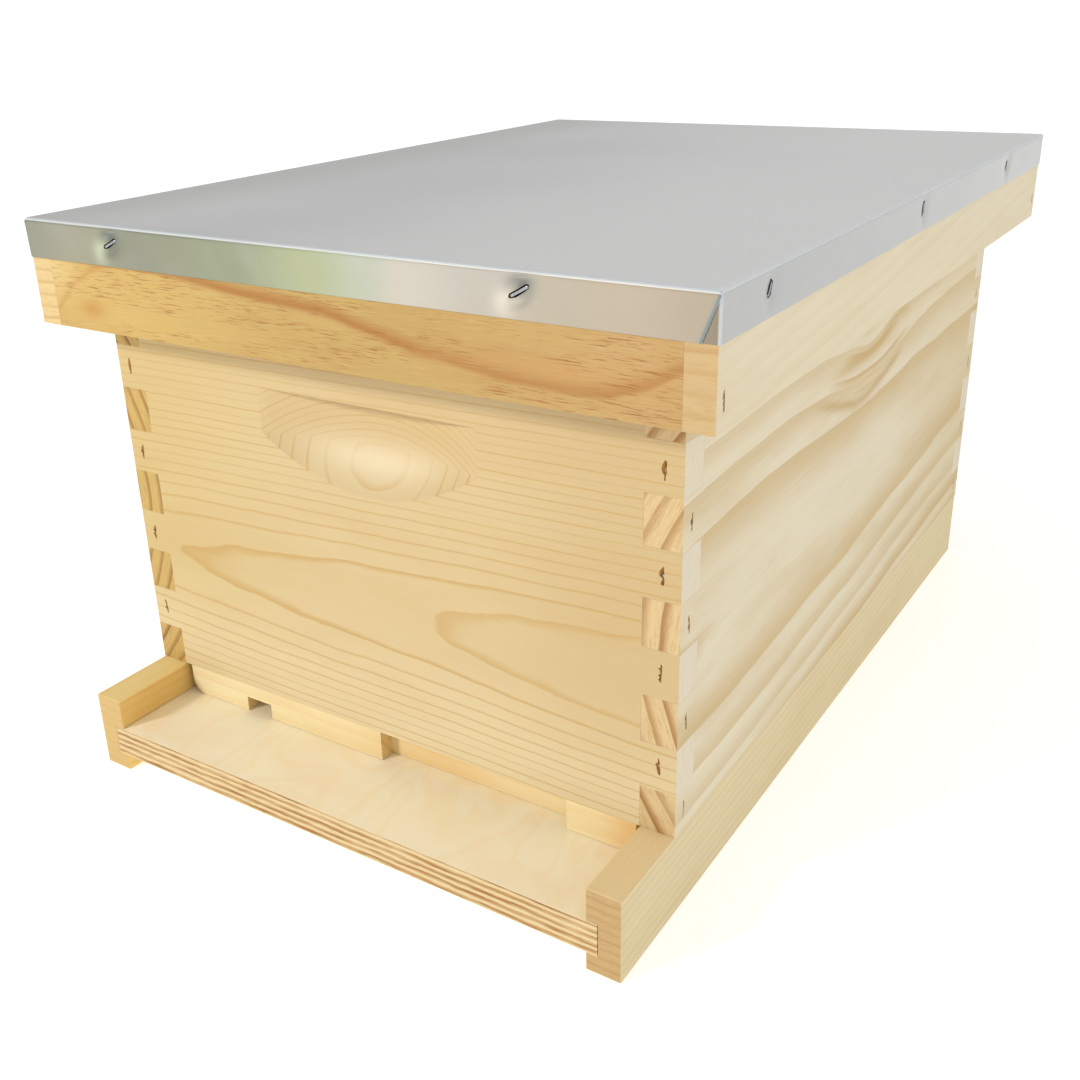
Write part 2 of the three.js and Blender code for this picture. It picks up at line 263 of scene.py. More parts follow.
def timber(name, grain, pith, ring, light, dark, lean=(0, 0), first=0, widen=None, band=(0.3, 0.95),
           depth=0.7, ends=((226, 200, 150), (178, 128, 72)), end_band=(0.5, 0.9), end_depth=0.9,
           wander=(3, 0.5), streak=0.1, fleck=0, patch=0.25, drift=(), stains_and_painted_light=(), strokes=(), seed=0,
           warp=None, burl=None):
    """Sawn softwood as a solid texture: growth rings about a pith line that runs along the grain.

    pith and lean are the line's place and slope across the grain, in millimetres from MIDDLE. ring is
    the growth of one year, counted from the radius first; years grow wider outwards over widen
    millimetres. band is where in a year the dark latewood builds up and stops. wander is how far the
    rings stray, broadly and finely. streak, fleck and patch are the strengths of fibres, resin dashes
    and broad dark patches. drift = (colour, axis, none at, full at, strength), a tint that grows along an
    axis; on some boards it is painted light. The soft spots are the wood's own marks on some boards and
    painted light or shade on others, and strokes painted lines. warp pushes the rings aside, and burl
    says where a knot crowds them.
    """
    end_light, end_dark = ends
    g = Material(name)
    along = g.xyz[grain]
    across = [g.xyz[axis] for axis in "xyz" if axis != grain]

    def stretched(size, shift=0):
        length, width = size
        return g.place(along / length, across[0] / width, across[1] / width + (seed + shift))

    offsets = []
    for k, shift in ((0, 0), (1, 17)):
        axis = along * lean[k] + pith[k]
        broad = g.swing(stretched(STRAY_BROAD, shift), wander[0])
        fine = g.swing(stretched(STRAY_FINE, shift + 5), wander[1])
        offsets.append(across[k] - axis + (broad + fine))
    if warp:
        offsets[1] = offsets[1] + warp(g)
    radius = g.math("SQRT", offsets[0] * offsets[0] + offsets[1] * offsets[1])
    years = radius - first
    if widen:
        years = (1 - g.math("EXPONENT", years * (-1 / widen))) * widen
    years = years / ring
    season = g.math("FRACT", years)
    vigour = g.random(g.math("FLOOR", years) + seed) * 0.55 + 0.45
    late = g.pulse(season, *band) * vigour
    if burl:
        crowded = g.math("FRACT", years * BURL_LINES)
        late = g.math("MAXIMUM", late, g.pulse(crowded, 0.25, 0.9) * burl(g))

    fibre = g.noise(stretched(FIBRE), 4, 0.6)
    thread = g.noise(stretched(THREAD))
    cloud = g.noise(stretched(CLOUD), 3, 0.55)
    face = light
    # Tints that grow along an axis: tone, and on some boards painted light.
    for colour, axis, none_at, full_at, strength in drift:
        face = g.mix(g.ease(g.xyz[axis], none_at, full_at, 0, strength), face, colour)
    face = g.mix(g.ease(cloud, 0.42, 0.72) * patch, face, dark)
    face = g.mix(late * depth, face, dark)
    face = g.mix(g.ease(fibre, 0.35, 0.75) * streak, face, end_dark)
    face = g.mix(g.ease(thread, 0.55, 0.8) * (streak * 0.6), face, PALE_THREAD)
    for colour, strength, *line in strokes:
        broken = g.ease(fibre, 0.25, 0.6, 0.6, 1)
        face = g.mix(g.stroke(*line) * strength * broken, face, colour)
    # Soft spots: the wood's own marks, and on some boards painted light or shade.
    for colour, spot, strength in stains_and_painted_light:
        face = g.mix(g.blot(spot) * strength, face, colour)
    if fleck:
        dash = g.ease(g.noise(stretched(DASH), 3, 0.6), 0.52, 0.68)
        gather = g.ease(g.noise(stretched(GATHER), 1), 0.38, 0.6)
        face = g.mix(dash * gather * fleck, face, RESIN)

    pore = g.noise(g.place(along * 0.3, across[0], across[1] + seed), 3, 0.7, scale=2.2)
    end = g.mix(g.pulse(season, *end_band) * vigour * end_depth, end_light, end_dark)
    end = g.mix(g.ease(pore, 0.45, 0.75) * 0.22, end, end_dark)
    shell = g.place(radius * 0.8, across[0] * 0.12, across[1] * 0.12 + seed)
    end = g.mix(g.ease(g.noise(shell, 3, 0.7), 0.45, 0.7) * 0.3, end, end_dark)
    is_end = g.ease(g.facing(grain), 0.75, 0.95)

    g.surface(Base_Color=g.mix(is_end, face, end), Roughness=fibre * 0.16 + 0.5, Specular_IOR_Level=0.32)
    height = fibre * 0.5 + thread * 0.25 + late * -0.35
    g.bump(height + pore * (is_end * 0.8), 0.35, 0.0004)
    return g.material


def beside_knot(spot, size):
    """The grain swings aside here, as it does beside a knot, and its lines darken."""
    def warp(g):
        return g.blot(spot) * size

    def burl(g):
        return g.ease(g.blot(spot), 0.35, 0.8)

    return {"warp": warp, "burl": burl}


LOOPS_FROM, LOOPS_TO = 97, 157  # heights on the front board, in millimetres
LOOPS_SHIFT = 4.5


def blunt_loops(g):
    """The rings are flatter behind the middle of the front board, so that their loops end blunt."""
    return g.ease(g.xyz["z"], LOOPS_FROM, LOOPS_TO, LOOPS_SHIFT, -LOOPS_SHIFT)


PINE_FRONT = timber(
    "pine_front", "x", (-104.5, 127), lean=(-0.01045, 0.004), ring=1.6, first=142.8, widen=75,
    light=(213, 189, 141), dark=(196, 155, 85), band=(0.74, 0.95), depth=0.75, wander=(0.6, 0.28),
    # The third drift lightens the board towards the bottom: painted light against the shade of the landing
    # board and rails.
    drift=(((208, 182, 119), "x", -20, -185, 0.75), ((203, 177, 128), "x", 60, 150, 0.8),
           ((234, 215, 173), "z", 130, 45, 0.7)), patch=0.14,
    # Painted light in the handhold: its bowl lighter, brightest in the middle, and its overhanging top band
    # darker, painted shade.
    stains_and_painted_light=(((236, 220, 184), {"x": (0, 75), "y": (-241, 6.5), "z": (204, 13)}, 0.9),
            ((198, 170, 116), {"x": (0, 95), "y": (-242, 7), "z": (228, 11)}, 0.35)),
    seed=3, ends=((228, 217, 194), (210, 190, 154)), end_depth=0.4, warp=blunt_loops)
PINE_BACK = timber(
    "pine_back", "x", (110, 150), lean=(0.01, -0.03), ring=2.6, first=140, widen=90,
    light=(236, 213, 164), dark=(214, 176, 112), band=(0.5, 0.94), depth=0.8, wander=(2.5, 0.7),
    seed=41, ends=((228, 216, 192), (206, 186, 150)), end_depth=0.4)
PINE_RIGHT = timber(
    "pine_right", "y", (308, 157), lean=(0.009, 0.038), ring=10.3, first=138.5,
    light=(228, 217, 188), dark=(202, 172, 112), band=(0.1, 0.95), depth=0.85,
    drift=(((220, 203, 160), "y", 20, 240, 0.6),), patch=0.3, seed=11,
    ends=((220, 193, 143), (160, 104, 42)), end_band=(0.42, 0.92), end_depth=0.95,
    strokes=(((196, 164, 98), 0.65, "y", "z", ((-80, 76), (225, 245)),
              [(0, 0.3), (0.3, 0.2), (0.5, 0.22), (0.66, 0.5), (0.8, 0.8), (1, 0.7)], 4),
             ((192, 158, 92), 0.75, "y", "z", ((-104, 68), (200, 224)),
              [(0, 1), (0.18, 0.62), (0.36, 0.3), (0.52, 0.12), (0.68, 0.24), (0.86, 0.5), (1, 0.75)],
              3.4)),
    **beside_knot({"y": (0, 80), "z": (226, 26)}, 15))
PINE_LEFT = timber(
    "pine_left", "y", (-308, 155), lean=(-0.01, -0.03), ring=9.2, first=138.5,
    light=(228, 214, 182), dark=(206, 180, 126), band=(0.12, 0.95), depth=0.85,
    seed=23, ends=((206, 172, 100), (140, 92, 26)), end_depth=1)


RIM_HALF = 200  # half the rim's length, in millimetres
SWEEP_TALL = 32
RIM_SWEEP = ((0, 1), (0.2, 1), (0.297, 0.94), (0.375, 0.85), (0.53, 0.7), (0.58, 0.58), (0.64, 0.44),
             (0.73, 0.25), (0.8, 0.156), (0.86, 0.144), (0.915, 0.25), (0.98, 0.63), (1, 0.7))


def rim_sweep(g):
    """The front rim's one dark line dips towards the right end and then turns up."""
    part = (g.xyz["x"] + RIM_HALF) / (2 * RIM_HALF)
    return (1 - g.curve(part, RIM_SWEEP)) * SWEEP_TALL


PINE_RIM_FRONT = timber(
    "pine_rim_front", "x", (-560, 560), ring=38, first=-1.1, light=(191, 160, 94),
    dark=(166, 110, 49), band=(0.82, 0.95), depth=1, wander=(0.8, 0.9), streak=0.25, fleck=0.85,
    drift=(((206, 173, 99), "x", 40, -160, 0.9), ((198, 157, 108), "x", 40, 190, 0.5)),
    patch=0.22, seed=7,
    strokes=(((186, 138, 66), 0.7, "x", "z", ((-192, -128), (268, 304)),
              [(0, 0), (0.15, 0.22), (0.35, 0.55), (0.6, 0.85), (0.8, 0.97), (1, 1)], 2.2),
             ((168, 112, 44), 0.6, "x", "z", ((-100, 84), (279, 303)),
              [(0, 1), (0.14, 0.94), (0.35, 0.81), (0.57, 0.7), (0.7, 0.48), (0.89, 0.15), (1, 0)],
              2.2)),
    stains_and_painted_light=(((190, 136, 58), {"x": (-154, 10), "z": (279, 5)}, 0.7),
            ((222, 194, 130), {"x": (-184, 20), "z": (300, 14)}, 0.8),
            ((196, 136, 74), {"x": (130, 55), "z": (284, 5)}, 0.3)),
    ends=((222, 186, 130), (190, 140, 84)), warp=rim_sweep)
PINE_RIM_RIGHT = timber(
    "pine_rim_right", "y", (205, 600), lean=(0, 0.1), ring=9, first=20,
    light=(227, 214, 183), dark=(214, 194, 150), band=(0.2, 0.95), depth=0.3, wander=(4, 0.8),
    patch=0.3, seed=31, ends=((206, 175, 124), (186, 144, 90)), end_depth=0.6)
PINE_RIM_OTHER = timber(
    "pine_rim_other", "y", (-190, 480), lean=(0, -0.06), ring=6.5, first=20,
    light=(232, 210, 162), dark=(210, 174, 112), band=(0.2, 0.95), depth=0.6,
    patch=0.15, seed=53, ends=((224, 196, 138), (192, 150, 88)), end_depth=0.6)
PINE_RIM_BACK = timber(
    "pine_rim_back", "x", (420, 330), lean=(0, 0.05), ring=6.5, first=20,
    light=(230, 206, 158), dark=(206, 168, 106), band=(0.2, 0.95), patch=0.2, fleck=0.3, seed=59)
PINE_RAIL_RIGHT = timber(
    "pine_rail_right", "y", (168, 160), lean=(0, 0.02), ring=5.5, first=2,
    light=(225, 209, 166), dark=(208, 182, 126), depth=0.4, wander=(2, 0.5),
    # Lighter on the top face: painted light.
    drift=(((242, 216, 164), "z", 45.8, 47.3, 0.9),), seed=67,
    ends=((200, 166, 113), (170, 128, 76)), end_depth=0.5)
PINE_RAIL_LEFT = timber(
    "pine_rail_left", "y", (-150, 190), lean=(0, -0.02), ring=6, first=2,
    light=(232, 198, 122), dark=(214, 170, 90), depth=0.4, wander=(2, 0.5),
    # Lighter on the top face: painted light.
    drift=(((255, 232, 162), "z", 45.8, 47.3, 0.9),), seed=71,
    ends=((214, 182, 118), (190, 150, 88)), end_depth=0.3)
PINE_REDUCER = timber(
    "pine_reducer", "x", (-180, 90), lean=(0.01, 0), ring=6, first=3,
    light=(248, 234, 190), dark=(232, 188, 108), depth=0.3, wander=(3, 0.8), patch=0.3, seed=83,
    stains_and_painted_light=(((228, 178, 96), {"x": (30, 42)}, 0.45),
            ((226, 172, 90), {"x": (158, 18)}, 0.6)),
    ends=((230, 200, 140), (202, 158, 96)))
# The hidden sticks: name, grain, pith, lean, ring, light, dark, depth and seed.
PINE_STICK_X, PINE_STICK_Y, PINE_STICK_Z = [
    timber(f"pine_stick_{name}", grain, pith, ring, light, dark, lean, depth=depth, seed=seed,
           band=(0.4, 0.95), wander=(3, 0.6))
    for name, grain, pith, lean, ring, light, dark, depth, seed in (
        ("across", "x", (60, 520), (0.01, 0.02), 4, (234, 214, 170), (212, 180, 122), 0.5, 89),
        ("long", "y", (35, 520), (0.01, 0.02), 4, (234, 212, 164), (210, 176, 116), 0.5, 97),
        ("upright", "z", (420, 60), (0.02, 0.01), 3.6, (236, 216, 172), (212, 178, 120), 0.55, 101))]


def plywood(name, plies, low, high):
    """Birch plywood lying level between two heights in metres: a rotary-cut face, and plies on its edges."""
    g = Material(name)
    x, y, z = g.xyz.values()
    broad = g.noise(g.place(x / 55, y / 90, 4), 2, 0.5, 0.6)
    seam = g.pulse(g.math("FRACT", broad * 7), 0.4, 0.9)
    fibre = g.noise(g.scaled(1 / 30, 1.6, 1.6), 4, 0.6)
    cloud = g.noise(g.place(x / 60, y / 40, 9), 3)
    face = g.mix(seam * 0.22, (255, 246, 217), (250, 222, 162))
    face = g.mix(g.ease(cloud, 0.4, 0.7) * 0.4, face, (253, 229, 194))
    face = g.mix(g.ease(fibre, 0.5, 0.8) * 0.12, face, (226, 190, 140))

    thickness = (high - low) / MM
    wave = g.swing(g.scaled(1 / 26, 1 / 26, 1 / 9), 0.45, 3) + g.swing(g.scaled(1 / 5, 1 / 5, 1 / 3), 0.16)
    layer = (z - low / MM) * (plies / thickness) + wave
    odd = g.math("PINGPONG", layer, 1)
    turned = g.ease(odd, 0.42, 0.66)
    glue = g.ease(g.math("ABSOLUTE", odd - 0.52), 0, 0.13, 1, 0)
    grit = g.noise(g.scaled(1 / 9, 1 / 9, 1.2), 3, 0.6)
    gaps = g.noise(g.place(x / 28, y / 28, g.math("FLOOR", layer) * 3.7))
    edge = g.mix(turned, (224, 200, 150), (190, 147, 86))
    edge = g.mix(g.ease(gaps, 0.45, 0.68) * (turned * 0.8), edge, (150, 100, 44))
    edge = g.mix(g.ease(gaps, 0.55, 0.35) * 0.35, edge, (234, 212, 168))
    edge = g.mix(glue * 0.4, edge, (150, 104, 54))
    edge = g.mix(g.ease(grit, 0.5, 0.75) * 0.35, edge, (176, 128, 72))
    is_edge = g.ease(g.facing("z"), 0.25, 0.6, 1, 0)
    g.surface(Base_Color=g.mix(is_edge, face, edge), Roughness=fibre * 0.15 + 0.48, Specular_IOR_Level=0.35)
    ridges = turned * -0.6 + grit * 0.8
    g.bump(fibre * 0.3 + is_edge * ridges, 0.45, 0.0005)
    return g.material


# Painted reflections along the lid's front skirt, from left to right: a share of its width, and a tint.
SKIRT_PAINTED_REFLECTIONS = ((0, (146, 145, 130)), (0.1, (155, 153, 133)), (0.2, (141, 142, 124)),
               (0.38, (146, 150, 124)), (0.5, (167, 172, 138)), (0.58, (177, 180, 160)),
               (0.63, (191, 184, 170)), (0.74, (180, 172, 158)), (0.82, (176, 166, 147)),
               (0.9, (179, 166, 147)), (1, (171, 159, 139)))
# The painted dark and bright reflections in the dent at a staple: right and up of it, reach, strength.
DENT_SHADE = (1.5, 3.5, 6, 3.8, 0.95)
DENT_GLINT = (-7, -5, 5, 5.5, 0.75)
CUT_TOP = 1.8  # how far below the top the flap's slanting cut starts, in millimetres


def zinc_sheet(name, spots=(), shade=0, cut=0):
    """Galvanised sheet: satin, with faint rolling streaks and smears, and painted reflections: the tints
    that it would mirror, by which way each face looks, along the front skirt and across the top, and painted
    highlights on its bends.

    spots are where staples dent the front skirt, with a painted dark and bright reflection in each dent. cut
    is how far the slanting cut at the right end of its flap runs in, in millimetres; a painted shadow line
    runs along it. shade darkens all of it, as painted shade for the tabs behind the flaps.
    """
    g = Material(name)
    x, y, z = g.xyz.values()
    rolled = g.noise(g.scaled(1 / 220, 1.4, 1.4), 4, 0.65)
    smear = g.noise(g.scaled(1 / 60, 1 / 60, 1 / 60), 4, 0.6, 0.4)
    cloud = g.noise(g.place(x / 200, y / 260, 0.5), 1)
    top = g.mix(g.ease(cloud, 0.3, 0.7), (230, 232, 230), (242, 243, 241))
    top = g.mix(g.ease(rolled, 0.45, 0.7) * 0.2, top, (250, 251, 250))
    # Painted reflections: the top lighter towards its right and darker at its left end.
    top = g.mix(g.ease(x, -90, 150, 0, 0.85), top, (254, 255, 253))
    top = g.mix(g.ease(x, -110, -200, 0, 0.6), top, (212, 213, 207))

    # The front skirt's tints are painted reflections of the surroundings, laid along its width.
    shift = g.swing(g.place(x / 25, 0, z / 9), 0.012)
    share = (x - (SHEET_LOW.x - MIDDLE.x) / MM) * (MM / WIDE) + shift
    ramp = g.node("ValToRGB", share)
    ramp.color_ramp.interpolation = "EASE"
    for k, (place, colour) in enumerate(SKIRT_PAINTED_REFLECTIONS):
        stop = ramp.color_ramp.elements[k] if k < 2 else ramp.color_ramp.elements.new(place)
        stop.position = place
        stop.color = srgb(*colour)
    front = g.value(ramp)
    # A painted dark and a painted bright reflection in the dent at each staple.
    for spot in spots:
        middle = (spot - MIDDLE) / MM
        glint = (202, 208, 178) if middle.x < 0 else (226, 216, 198)
        dent_reflections = ((DENT_SHADE, (104, 108, 101)), (DENT_GLINT, glint))
        for (right, rise, wide, tall, strength), colour in dent_reflections:
            mark = {"x": (middle.x + right, wide), "z": (middle.z + rise, tall)}
            front = g.mix(g.blot(mark) * strength, front, colour)
    # A painted shadow line along the flap's slanting cut.
    if cut:
        fall = (SHEET_HIGH.z - SHEET_LOW.z) / MM - CUT_TOP
        slant = (z - (SHEET_HIGH.z / MM - CUT_TOP)) * (-cut / fall)
        off = x - (SHEET_HIGH.x - MIDDLE.x) / MM + slant + 0.4
        front = g.mix(g.bell(off) * 0.85, front, (112, 132, 142))
    smeared = g.ease(smear, 0.4, 0.7)
    fore, up = g.facing("y"), g.facing("z")
    side = g.mix(smeared * 0.35, (183, 183, 181), (170, 172, 172))
    # Painted reflections by which way a face looks: the side skirts grey, the front skirt its tints, the top
    # light.
    skirt = g.mix(g.ease(fore, 0.4, 0.8), side, front)
    tint = g.mix(g.ease(up, 0.5, 0.9), skirt, top)
    squarest = g.math("MAXIMUM", g.math("MAXIMUM", g.facing("x"), fore), up)
    # Painted highlights on the rounded bends and the corner folds.
    bend = g.ease(squarest, 0.985, 0.93)
    lip_highlight = g.mix(g.ease(fore, 0.1, 0.3), (226, 229, 230), (204, 208, 209))
    tint = g.mix(bend, tint, g.mix(g.ease(up, 0.1, 0.3), (205, 208, 209), lip_highlight))
    level = g.ease(up, 0.5, 0.9, 0.2, 0)
    tint = g.mix(smeared * level, tint, (186, 189, 190))
    # shade mixes in a dark brown: painted shade, for the tabs that lie behind the flaps.
    if shade:
        tint = g.mix(shade, tint, (110, 102, 84))
    g.surface(Base_Color=tint, Metallic=g.ease(bend, 0, 1, 1, 0.45),
              Roughness=rolled * 0.06 + smear * 0.06 + bend * 0.33 + 0.27)
    g.bump(rolled * 0.3 + smear * 0.7, 0.06, 0.0006)
    return g.material


def steel_wire():
    g = Material("steel_wire")
    wear = g.noise(g.place(*g.xyz.values()), 3, scale=0.9)
    colour = g.mix(wear, (132, 135, 138), (190, 192, 193))
    g.surface(Base_Color=colour, Metallic=1, Roughness=wear * 0.2 + 0.25)
    return g.material


def torn_wood(name, low, high):
    g = Material(name)
    shreds = g.noise(g.scaled(2, 2, 0.7), 4, 0.7, scale=1.5)
    g.surface(Base_Color=g.mix(g.ease(shreds, 0.35, 0.7), low, high), Roughness=0.85)
    g.bump(shreds, 0.8, 0.0005)
    return g.material


def wax_coating():
    g = Material("wax_coating")
    cloud = g.noise(g.scaled(1 / 30, 1 / 30, 1 / 30), 3)
    speck = g.noise(g.place(*g.xyz.values()), 3, scale=0.9)
    wax = g.mix(g.ease(cloud, 0.35, 0.7), (240, 212, 120), (226, 186, 84))
    wax = g.mix(g.ease(speck, 0.55, 0.8) * 0.3, wax, (250, 232, 170))
    g.surface(Base_Color=wax, Roughness=speck * 0.2 + 0.35, Subsurface_Weight=0.08)
    g.bump(speck, 0.15, 0.0004)
    return g.material


BIRCH_FLOOR = plywood("birch_plywood_floor", 9, FLOOR_LOW.z, FLOOR_HIGH.z)
STEEL = steel_wire()
TORN = torn_wood("torn_wood", (176, 116, 44), (214, 160, 88))
# Dark lining for the staples' slots and crushed bowls: painted shade in these recesses.
TORN_SHADED = torn_wood("torn_wood_shaded", (74, 66, 50), (112, 98, 72))
TORN_PALE = torn_wood("torn_wood_pale", (190, 140, 74), (224, 184, 122))
WAX = wax_coating()


# -------- boards

SHARP = radians(50)  # edges sharper than this stay sharp in smooth shading
ROUNDED = radians(32)  # edges sharper than this are eased
LEVEL = radians(0.3)  # faces that differ by less are one flat face
EASE_STICK = 0.35 * MM
EASE_BAR = 0.4 * MM
EASE_RAIL = 0.7 * MM
EASE_PANEL = 0.3 * MM
EASE_FLOOR = 0.1 * MM
EASE_JOINT = 0.06 * MM  # on boards whose joints have to look closed
GLUED = 0.1 * MM  # how much such a board grows


def add_object(name, data):
    """An object in the scene that holds a mesh, a lamp or a camera."""
    thing = bpy.data.objects.new(name, data)
    scene.collection.objects.link(thing)
    return thing


def mesh_from(name, shape, *materials):
    """A mesh from a bmesh, which is freed."""
    mesh = bpy.data.meshes.new(name)
    shape.to_mesh(mesh)
    shape.free()
    for material in materials:
        mesh.materials.append(material)
    return mesh


def object_from(name, shape, material, body):
    """A piece from a bmesh, riding on a body."""
    materials = material if isinstance(material, tuple) else (material,)
    piece = add_object(name, mesh_from(name, shape, *materials))
    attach(piece, body)
    return piece


def smooth(mesh):
    mesh.polygons.foreach_set("use_smooth", [True] * len(mesh.polygons))
    mesh.set_sharp_from_angle(angle=SHARP)


def shade(piece):
    """Smooth shading that large flat faces keep flat."""
    smooth(piece.data)
    even = piece.modifiers.new("even normals", "WEIGHTED_NORMAL")
    even.keep_sharp = True
    even.weight = 80
    return piece


def welded(node, swell=0):
    """A CAD node's solid as a bmesh with shared corners and whole flat faces, grown a little if asked."""
    shape = bmesh.new()
    shape.from_mesh(NODES[node].data)
    bmesh.ops.remove_doubles(shape, verts=shape.verts, dist=WELD)
    bmesh.ops.dissolve_limit(shape, angle_limit=LEVEL, verts=shape.verts, edges=shape.edges)
    if swell:
        shape.normal_update()
        moves = [vert.normal * swell * vert.calc_shell_factor() for vert in shape.verts]
        for vert, move in zip(shape.verts, moves):
            vert.co += move
    return shape


def settle(piece, cutters=None, inside=None):
    """Applies a piece's modifiers, with solids cut out of it if there are any."""
    tool = None
    if cutters:
        tool = add_object("cutters", mesh_from("cutters", cutters, inside or piece.data.materials[0]))
        cut = piece.modifiers.new("cut", "BOOLEAN")
        cut.operation = "DIFFERENCE"
        cut.solver = "EXACT"
        cut.material_mode = "TRANSFER"
        cut.object = tool
    result = bpy.data.meshes.new_from_object(piece.evaluated_get(bpy.context.evaluated_depsgraph_get()))
    piece.modifiers.clear()
    piece.data = result
    if tool:
        bpy.data.objects.remove(tool)


def body_of(node):
    return NODES[node]["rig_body"]


def dressed(node, name, material, ease=EASE_STICK, bites=(), swell=0):
    """A board or stick with eased edges that stands for a CAD node; each bite is a cutter and its lining."""
    piece = object_from(name, welded(node, swell), material, body_of(node))
    bevel = piece.modifiers.new("eased edges", "BEVEL")
    bevel.width = ease
    bevel.segments = 2
    bevel.limit_method = "ANGLE"
    bevel.angle_limit = ROUNDED
    settle(piece)
    for cutters, lining in bites:
        settle(piece, cutters, lining)
    shade(piece)
    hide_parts(node)


# -------- driven nails: torn slits in the face

UP = Vector((0, 0, 1))
NAIL_INSET = BOARD / 2 - 0.5 * MM
NAIL_RADII = (0.75 * MM, 0.65 * MM)
NAIL_LONG = 1.4 * MM
NAIL_SUNK = 0.9 * MM  # from a slit's bottom to the middle of the nail that shows in it
NAIL_LEAST = 1.1 * MM  # but at least so far below the face
SPLINTERS = 3  # in each slit
SLIT_TALL = 9.6 * MM
SLIT_WIDE = 2.3 * MM
SLIT_STEPS = 8
SLIT_DEEP = 2.2 * MM  # in the front and back boards
SIDE_SLIT_DEEP = 1.2 * MM
RIM_SLIT_DEEP = 0.7 * MM


def add_prism(shape, outline, front, back):
    """A solid between two copies of an outline, each placed by a function."""
    near = [shape.verts.new(front(u, v)) for u, v in outline]
    far = [shape.verts.new(back(u, v)) for u, v in outline]
    faces = [shape.faces.new(near[::-1]), shape.faces.new(far)]
    for corners in zip(near, near[1:] + near[:1], far[1:] + far[:1], far):
        faces.append(shape.faces.new(corners))
    bmesh.ops.recalc_face_normals(shape, faces=faces)


def ragged_slit(shape, chance, at, inward, up, deep):
    """Adds a cutter: a tall thin prism with a ragged outline, centred on a point of the face."""
    side = up.cross(inward)
    left, right = [], []
    for k in range(SLIT_STEPS + 1):
        part = k / SLIT_STEPS
        half = SLIT_WIDE * 0.5 * sin(pi * min(max(part, 0.08), 0.92)) ** 0.5
        height = (part - 0.5) * SLIT_TALL
        left.append((-half * chance.uniform(0.3, 0.9), height))
        right.append((half * chance.choice((0.4, 0.7, 1.5, 2.0)), height + chance.uniform(-0.25, 0.25) * MM))
    add_prism(shape, right + left[::-1],
              lambda u, v: at - inward * MM + side * u + up * v,
              lambda u, v: at + inward * deep + side * u * 0.5 + up * v * 0.9)


def splinter(shape, chance, at, outward, up):
    """A sliver of torn fibres that stands across the slit."""
    side = up.cross(outward)
    length = SLIT_TALL * chance.uniform(0.25, 0.5)
    root = at + up * chance.uniform(-0.35, 0.1) * SLIT_TALL + side * chance.uniform(-0.5, 0.5) * MM
    low = root - outward * 1.2 * MM
    lean = side * chance.uniform(-0.6, 0.6) * MM
    half = side * chance.uniform(0.2, 0.4) * MM
    thick = outward * 0.5 * MM
    ring = [shape.verts.new(p) for p in (low - half, low + half, low + half + thick, low - half + thick)]
    tip = shape.verts.new(root + up * length + lean - outward * 0.2 * MM)
    shape.faces.new(ring[::-1])
    for low, high in zip(ring, ring[1:] + ring[:1]):
        shape.faces.new((low, high, tip))


def finger_middles(node, axis):
    """Heights of the middles of a board's box-joint fingers, from its own end faces."""
    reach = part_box(node)[0][axis]
    heights = sorted({round(v.co.z, 5) for v in NODES[node].data.vertices if abs(v.co[axis] - reach) < 1e-4})
    return [(a + b) / 2 for a, b in zip(heights[::2], heights[1::2])]


def nailed(node, name, material, spots, inward, seed, bites=(), torn=TORN, deep=SLIT_DEEP):
    """A board with a torn slit at each nail, and the shreds and the nail's end inside it."""
    chance = random.Random(seed)
    cutters = bmesh.new()
    wires = bmesh.new()
    shreds = bmesh.new()
    for spot in spots:
        at = spot + UP * chance.uniform(-1.2, 1.2) * MM
        up = (UP + UP.cross(inward) * chance.uniform(-0.12, 0.12)).normalized()
        ragged_slit(cutters, chance, at, inward, up, deep)
        for k in range(SPLINTERS):
            splinter(shreds, chance, at, -inward, up)
        turn = (-inward).to_track_quat("Z", "Y").to_matrix().to_4x4()
        seat = Matrix.Translation(at + inward * max(deep - NAIL_SUNK, NAIL_LEAST)) @ turn
        bmesh.ops.create_cone(wires, cap_ends=True, segments=14, radius1=NAIL_RADII[0],
                              radius2=NAIL_RADII[1], depth=NAIL_LONG, matrix=seat)
    dressed(node, name, material, EASE_JOINT, (*bites, (cutters, torn)), GLUED)
    for part, shape, finish, slot in (("splinters", shreds, torn, FINISH[node]),
                                      ("nails", wires, STEEL, "zinc_sheet")):
        shade(object_from(f"{name}_{part}", shape, finish, body_of(node)))


def spots_at(x_values, y_values, heights):
    return [Vector((x, y, z)) for x in x_values for y in y_values for z in heights]


FRONT_FINGERS = finger_middles("body_front_board", 0)
SIDE_FINGERS = finger_middles("body_right_board", 1)
FRONT_X = (FRONT_LOW.x + NAIL_INSET, FRONT_HIGH.x - NAIL_INSET)
SIDE_Y = (RIGHT_LOW.y + NAIL_INSET, RIGHT_HIGH.y - NAIL_INSET)
nailed("body_front_board", "front_board", PINE_FRONT,
       spots_at(FRONT_X, (FRONT_LOW.y,), FRONT_FINGERS), Vector((0, 1, 0)), 5)
nailed("body_back_board", "back_board", PINE_BACK,
       spots_at(FRONT_X, (BACK_HIGH.y,), FRONT_FINGERS), Vector((0, -1, 0)), 6)
nailed("body_right_board", "right_board", PINE_RIGHT,
       spots_at((RIGHT_HIGH.x,), SIDE_Y, SIDE_FINGERS), Vector((-1, 0, 0)), 7, (), TORN_PALE, SIDE_SLIT_DEEP)
nailed("body_left_board", "left_board", PINE_LEFT,
       spots_at((LEFT_LOW.x,), SIDE_Y, SIDE_FINGERS), Vector((1, 0, 0)), 8, (), TORN_PALE, SIDE_SLIT_DEEP)

